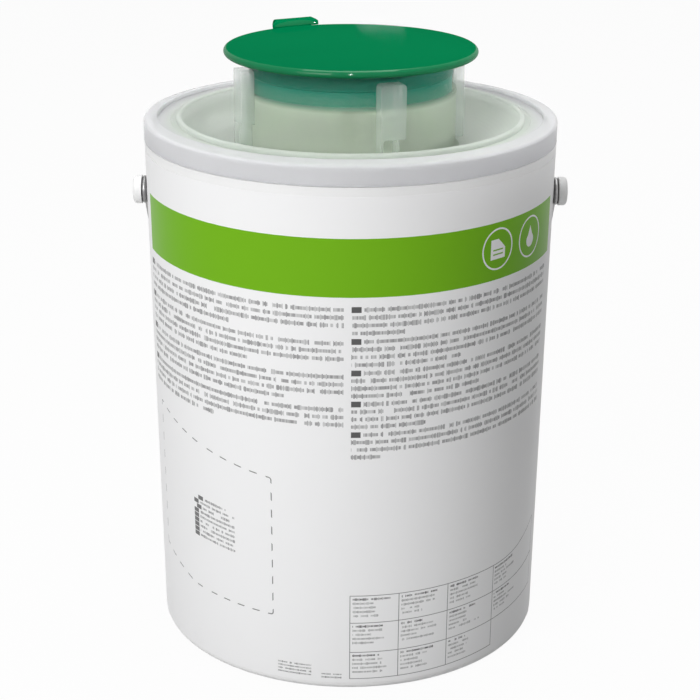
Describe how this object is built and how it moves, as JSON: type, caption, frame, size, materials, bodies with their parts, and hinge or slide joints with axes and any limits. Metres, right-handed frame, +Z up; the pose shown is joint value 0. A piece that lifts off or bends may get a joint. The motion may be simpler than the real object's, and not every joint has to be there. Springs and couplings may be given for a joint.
{
  "type": "countertop wipes dispenser",
  "caption": "Round bucket wipes dispenser with a press-on translucent lid, raised neck, green flip cap on a strap hinge, wire carrying bail and a centre-pull wipes roll.",
  "frame": {"origin": "centre of the base, on the plane that the bucket stands on", "axes": "+Z up along the bucket's axis, -Y towards the middle of the label (the front), X through the two bail studs"},
  "size_m": [0.209, 0.2094, 0.2933],
  "materials": {
    "bucket_plastic": "smooth white polypropylene",
    "label_film": "printed film, white with a green band",
    "wipes": "white non-woven",
    "lid_plastic": "translucent natural polypropylene",
    "seal_rubber": "soft pale seal",
    "insert_plastic": "green polypropylene",
    "cap_plastic": "glossy green polypropylene",
    "bail_steel": "zinc plated wire",
    "grip_plastic": "white moulded plastic"
  },
  "bodies": {
    "bucket": {"bucket": "bucket_plastic", "label": "label_film", "wipes_roll": "wipes"},
    "lid": {"lid": "lid_plastic", "neck": "lid_plastic", "neck_lugs": "lid_plastic", "lid_seal": "seal_rubber", "orifice_insert": "insert_plastic", "hinge_strap": "cap_plastic", "lead_wipe": "wipes"},
    "cap": {"flip_cap": "cap_plastic"},
    "bail": {"bail_wire": "bail_steel"},
    "grip": {"bail_grip": "grip_plastic"}
  },
  "joints": [
    {"name": "lid_lift", "type": "slide", "parent": "bucket", "child": "lid", "axis": [0, 0, 1], "range_m": [0, 0.09]},
    {"name": "cap_hinge", "type": "hinge", "parent": "lid", "child": "cap", "pos_m": [-0.02877, 0.05526, 0.28995], "axis": [-0.887, -0.4617, 0], "range_deg": [0, 170], "deforming": ["hinge_strap"]},
    {"name": "bail_swing", "type": "hinge", "parent": "bucket", "child": "bail", "pos_m": [0, 0, 0.2202], "axis": [1, 0, 0], "range_deg": [0, 259]},
    {"name": "grip_spin", "type": "hinge", "parent": "bail", "child": "grip", "pos_m": [0, 0.10422, 0.13283], "axis": [1, 0, 0], "continuous": true}
  ]
}
